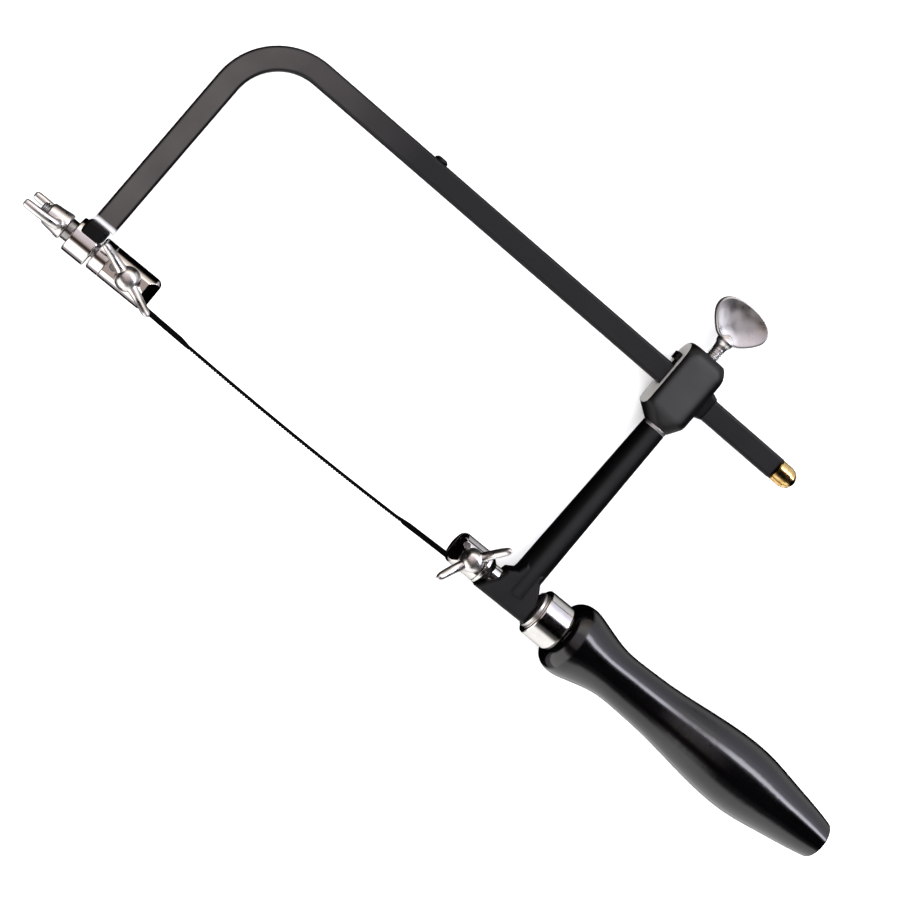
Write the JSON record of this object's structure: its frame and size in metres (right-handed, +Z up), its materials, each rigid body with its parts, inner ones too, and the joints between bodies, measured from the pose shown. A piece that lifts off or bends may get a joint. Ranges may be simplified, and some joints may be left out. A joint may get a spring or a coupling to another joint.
{
  "type": "scroll saw",
  "caption": "Hand scroll saw: an adjustable piercing-saw frame with a turned black handle, sliding top bar, screw clamps, tension nut and fitted fine blade.",
  "frame": {"origin": "middle of the underside of the bounding box, the saw lying on its side", "axes": "+X along the blade from the front clamp to the handle's butt, +Y from the blade to the top bar, +Z up across the frame"},
  "size_m": [0.315, 0.1254, 0.0242],
  "materials": {
    "lacquered_wood": "gloss black lacquer",
    "bright_plate": "polished nickel plate",
    "tool_steel": "plain steel",
    "black_paint": "satin black paint",
    "dull_plate": "satin nickel plate",
    "dark_steel": "oil-blackened",
    "brass": "polished",
    "blade_steel": "blue-black hardened"
  },
  "bodies": {
    "handle_frame": {"handle": "lacquered_wood", "ferrule": "bright_plate", "handle_tang": "tool_steel", "tang_washer": "dull_plate", "rear_arm": "black_paint", "arm_collar": "dull_plate", "slide_block": "black_paint", "rear_clamp_body": "bright_plate", "rear_clamp_pin": "tool_steel", "blade": "blade_steel"},
    "front_frame": {"frame_bar": "black_paint", "stop_pin": "black_paint", "end_stop": "brass", "leg_foot": "black_paint", "front_barrel": "bright_plate", "tension_washer": "dark_steel"},
    "tension_nut": {"tension_wing_nut": "bright_plate"},
    "front_clamp": {"front_clamp_body": "bright_plate", "front_clamp_pin": "tool_steel", "tension_rod": "tool_steel"},
    "front_plate": {"front_clamp_plate": "bright_plate"},
    "front_screw": {"front_wing_screw": "bright_plate"},
    "rear_plate": {"rear_clamp_plate": "bright_plate"},
    "rear_screw": {"rear_wing_screw": "bright_plate"},
    "shoe": {"lock_shoe": "dark_steel"},
    "lock_screw": {"thumb_screw": "dull_plate"}
  },
  "joints": [
    {"name": "frame_slide", "type": "slide", "parent": "handle_frame", "child": "front_frame", "axis": [-1, 0, 0], "range_m": [-0.004, 0.028]},
    {"name": "tension_nut_turn", "type": "hinge", "parent": "front_frame", "child": "tension_nut", "pos_m": [-0.14755, -0.0507, 0.012], "axis": [1, 0, 0], "range_deg": [-2040, 150]},
    {"name": "tension_slide", "type": "slide", "parent": "front_frame", "child": "front_clamp", "axis": [1, 0, 0], "range_m": [-0.0003, 0.0045]},
    {"name": "front_screw_turn", "type": "hinge", "parent": "front_plate", "child": "front_screw", "pos_m": [-0.12145, -0.0507, 0.02], "axis": [0, 0, 1], "range_deg": [0, 490]},
    {"name": "front_plate_lift", "type": "slide", "parent": "front_clamp", "child": "front_plate", "axis": [0, 0, 1], "range_m": [0, 0.00093]},
    {"name": "rear_screw_turn", "type": "hinge", "parent": "rear_plate", "child": "rear_screw", "pos_m": [0.01005, -0.0507, 0.02], "axis": [0, 0, 1], "range_deg": [0, 490]},
    {"name": "rear_plate_lift", "type": "slide", "parent": "handle_frame", "child": "rear_plate", "axis": [0, 0, 1], "range_m": [0, 0.00093]},
    {"name": "thumb_screw_turn", "type": "hinge", "parent": "shoe", "child": "lock_screw", "pos_m": [0.02775, 0.0453, 0.012], "axis": [0, 1, 0], "range_deg": [0, 490]},
    {"name": "shoe_lift", "type": "slide", "parent": "handle_frame", "child": "shoe", "axis": [0, 1, 0], "range_m": [0, 0.00093]}
  ],
  "couplings": [
    {"joint": "tension_nut_turn", "follows": "tension_slide", "rad_per_m": -7854},
    {"joint": "front_screw_turn", "follows": "front_plate_lift", "rad_per_m": 8976},
    {"joint": "rear_screw_turn", "follows": "rear_plate_lift", "rad_per_m": 8976},
    {"joint": "thumb_screw_turn", "follows": "shoe_lift", "rad_per_m": 8976}
  ]
}
